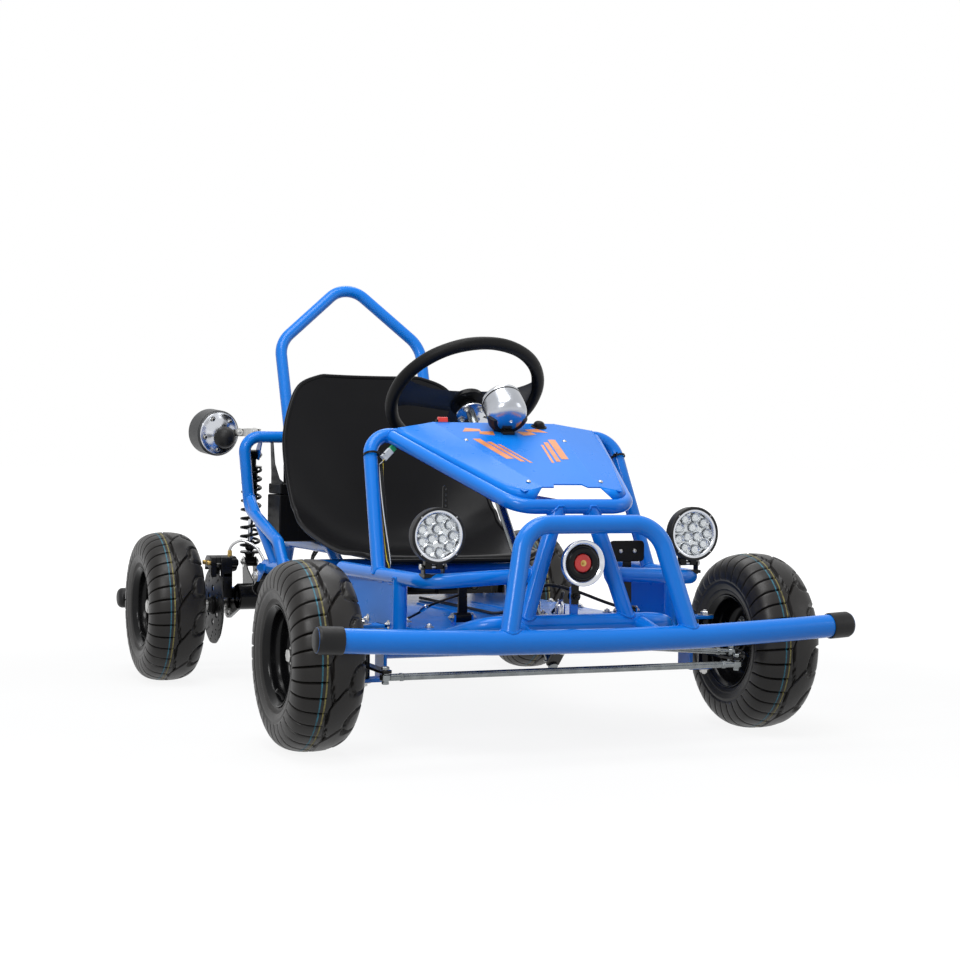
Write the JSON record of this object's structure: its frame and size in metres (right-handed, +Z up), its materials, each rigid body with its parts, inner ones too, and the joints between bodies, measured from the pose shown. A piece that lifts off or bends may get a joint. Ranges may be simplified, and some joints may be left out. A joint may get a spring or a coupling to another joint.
{
  "type": "off road go kart",
  "caption": "Child's off road go kart: welded tube frame, bucket seat, tall roll bar, knobbly balloon tyres, sprung rear axle, lamps and horn.",
  "frame": {"origin": "on the ground under the centre of the kart's bounding box", "axes": "+X to the driver's left, +Y to the rear (the kart drives towards -Y), +Z up"},
  "size_m": [1.0106, 1.5574, 0.903],
  "materials": {
    "blue_paint": "glossy",
    "black_paint": "semi-gloss",
    "black_plastic": "satin",
    "tyre_rubber": "matte",
    "rubber": "matte",
    "chrome": "polished",
    "steel": "zinc plated",
    "aluminium": "cast",
    "lamp_lens": "clear",
    "red_plastic": "glossy"
  },
  "bodies": {
    "chassis": {"lower_frame": "blue_paint", "front_bumper": "blue_paint", "dash_loop": "blue_paint", "rear_hoop": "blue_paint", "roll_bar": "blue_paint", "rear_bumper": "blue_paint", "floor_pan": "blue_paint", "hood": "blue_paint", "seat_shell": "black_plastic", "side_rail_right": "blue_paint", "side_rail_left": "blue_paint", "front_bumper_cap_right": "rubber", "front_bumper_cap_left": "rubber", "rear_bumper_cap_right": "rubber", "rear_bumper_cap_left": "rubber", "tail_lamp_right": "chrome", "tail_lamp_left": "chrome", "battery_box": "black_plastic", "motor_controller": "aluminium", "master_cylinder": "aluminium", "wiring_lead": "rubber", "horn": "chrome", "speedometer": "chrome"},
    "steering": {"steering_wheel": "rubber", "steering_column": "steel"},
    "knuckle_right": {"knuckle_right": "black_paint"},
    "knuckle_left": {"knuckle_left": "black_paint"},
    "tie_rod": {"tie_rod": "steel"},
    "drag_link": {"drag_link": "steel"},
    "wheel_front_right": {"tyre_front_right": "tyre_rubber", "rim_front_right": "black_paint"},
    "wheel_front_left": {"tyre_front_left": "tyre_rubber", "rim_front_left": "black_paint"},
    "swing_arm": {"swing_arm": "black_paint", "motor": "black_paint", "brake_caliper": "black_paint", "brake_pipe": "steel", "drive_chain": "steel"},
    "rear_axle": {"rear_axle": "steel", "axle_sprocket": "steel", "brake_disc": "black_paint", "tyre_rear_right": "tyre_rubber", "tyre_rear_left": "tyre_rubber", "rim_rear_right": "black_paint", "rim_rear_left": "black_paint"},
    "motor_pinion": {"motor_pinion": "steel"},
    "shock_body_right": {"shock_body_right": "black_paint", "shock_spring_right": "black_paint"},
    "shock_body_left": {"shock_body_left": "black_paint", "shock_spring_left": "black_paint"},
    "shock_rod_right": {"shock_rod_right": "black_paint"},
    "shock_rod_left": {"shock_rod_left": "black_paint"},
    "throttle_pedal": {"throttle_pedal": "black_paint"},
    "brake_pedal": {"brake_pedal": "black_paint"},
    "kill_switch": {"kill_switch": "red_plastic"},
    "start_button": {"start_button": "rubber"},
    "headlight_right": {"headlight_housing_right": "black_plastic", "headlight_lens_right": "lamp_lens"},
    "headlight_left": {"headlight_housing_left": "black_plastic", "headlight_lens_left": "lamp_lens"}
  },
  "joints": [
    {"name": "steering_turn", "type": "hinge", "parent": "chassis", "child": "steering", "pos_m": [0, -0.13465, 0.629], "axis": [0, 0.6561, 0.7547], "range_deg": [-55, 55]},
    {"name": "knuckle_turn_right", "type": "hinge", "parent": "chassis", "child": "knuckle_right", "pos_m": [-0.34, -0.50765, 0.165], "axis": [0, 0, 1], "range_deg": [-25, 25]},
    {"name": "front_wheel_spin_right", "type": "hinge", "parent": "knuckle_right", "child": "wheel_front_right", "pos_m": [-0.441, -0.50765, 0.165], "axis": [1, 0, 0], "continuous": true},
    {"name": "knuckle_turn_left", "type": "hinge", "parent": "chassis", "child": "knuckle_left", "pos_m": [0.34, -0.50765, 0.165], "axis": [0, 0, 1], "range_deg": [-25, 25]},
    {"name": "front_wheel_spin_left", "type": "hinge", "parent": "knuckle_left", "child": "wheel_front_left", "pos_m": [0.441, -0.50765, 0.165], "axis": [1, 0, 0], "continuous": true},
    {"name": "tie_rod_turn", "type": "hinge", "parent": "knuckle_right", "child": "tie_rod", "pos_m": [-0.34, -0.62565, 0.141], "axis": [0, 0, 1], "range_deg": [-25, 25]},
    {"name": "drag_link_turn", "type": "hinge", "parent": "knuckle_left", "child": "drag_link", "pos_m": [0.34, -0.60565, 0.156], "axis": [0, 0, 1], "range_deg": [-25, 25]},
    {"name": "swing_arm_pivot", "type": "hinge", "parent": "chassis", "child": "swing_arm", "pos_m": [0, 0.38735, 0.242], "axis": [1, 0, 0], "range_deg": [-3, 12], "stiffness_Nm_per_rad": 600, "springref_deg": -2.86},
    {"name": "rear_axle_spin", "type": "hinge", "parent": "swing_arm", "child": "rear_axle", "pos_m": [0, 0.54135, 0.165], "axis": [1, 0, 0], "continuous": true},
    {"name": "motor_pinion_spin", "type": "hinge", "parent": "swing_arm", "child": "motor_pinion", "pos_m": [0.08, 0.63235, 0.215], "axis": [1, 0, 0], "continuous": true},
    {"name": "shock_tilt_right", "type": "hinge", "parent": "chassis", "child": "shock_body_right", "pos_m": [-0.248, 0.52635, 0.505], "axis": [1, 0, 0], "range_deg": [-1.5, 0.5]},
    {"name": "shock_stroke_right", "type": "slide", "parent": "shock_body_right", "child": "shock_rod_right", "axis": [0, -0.0739, 0.9973], "range_m": [-0.009, 0.0335], "deforming": ["shock_spring_right"]},
    {"name": "shock_tilt_left", "type": "hinge", "parent": "chassis", "child": "shock_body_left", "pos_m": [0.248, 0.52635, 0.505], "axis": [1, 0, 0], "range_deg": [-1.5, 0.5]},
    {"name": "shock_stroke_left", "type": "slide", "parent": "shock_body_left", "child": "shock_rod_left", "axis": [0, -0.0739, 0.9973], "range_m": [-0.009, 0.0335], "deforming": ["shock_spring_left"]},
    {"name": "throttle_press", "type": "hinge", "parent": "chassis", "child": "throttle_pedal", "pos_m": [-0.15, -0.49965, 0.222], "axis": [1, 0, 0], "range_deg": [0, 25], "stiffness_Nm_per_rad": 1.2, "springref_deg": -17.19},
    {"name": "brake_press", "type": "hinge", "parent": "chassis", "child": "brake_pedal", "pos_m": [0.15, -0.55365, 0.232], "axis": [1, 0, 0], "range_deg": [0, 20], "stiffness_Nm_per_rad": 3, "springref_deg": -17.19},
    {"name": "kill_switch_rock", "type": "hinge", "parent": "chassis", "child": "kill_switch", "pos_m": [-0.105, -0.27935, 0.578], "axis": [1, 0, 0], "range_deg": [-10, 10]},
    {"name": "start_button_press", "type": "slide", "parent": "chassis", "child": "start_button", "axis": [0, 0.3162, -0.9487], "range_m": [0, 0.004], "stiffness_N_per_m": 400, "springref_m": -0.002},
    {"name": "headlight_tilt_right", "type": "hinge", "parent": "chassis", "child": "headlight_right", "pos_m": [-0.247, -0.60265, 0.32], "axis": [1, 0, 0], "range_deg": [-10, 10]},
    {"name": "headlight_tilt_left", "type": "hinge", "parent": "chassis", "child": "headlight_left", "pos_m": [0.247, -0.60265, 0.32], "axis": [1, 0, 0], "range_deg": [-10, 10]}
  ],
  "couplings": [
    {"joint": "knuckle_turn_right", "follows": "steering_turn", "ratio": 0.45},
    {"joint": "knuckle_turn_left", "follows": "steering_turn", "ratio": 0.45},
    {"joint": "tie_rod_turn", "follows": "steering_turn", "ratio": -0.45},
    {"joint": "drag_link_turn", "follows": "steering_turn", "ratio": -0.45},
    {"joint": "motor_pinion_spin", "follows": "rear_axle_spin", "ratio": 3.1111},
    {"joint": "shock_tilt_right", "follows": "swing_arm_pivot", "ratio": -0.1177},
    {"joint": "shock_stroke_right", "follows": "swing_arm_pivot", "m_per_rad": 0.1558},
    {"joint": "shock_tilt_left", "follows": "swing_arm_pivot", "ratio": -0.1177},
    {"joint": "shock_stroke_left", "follows": "swing_arm_pivot", "m_per_rad": 0.1558}
  ]
}
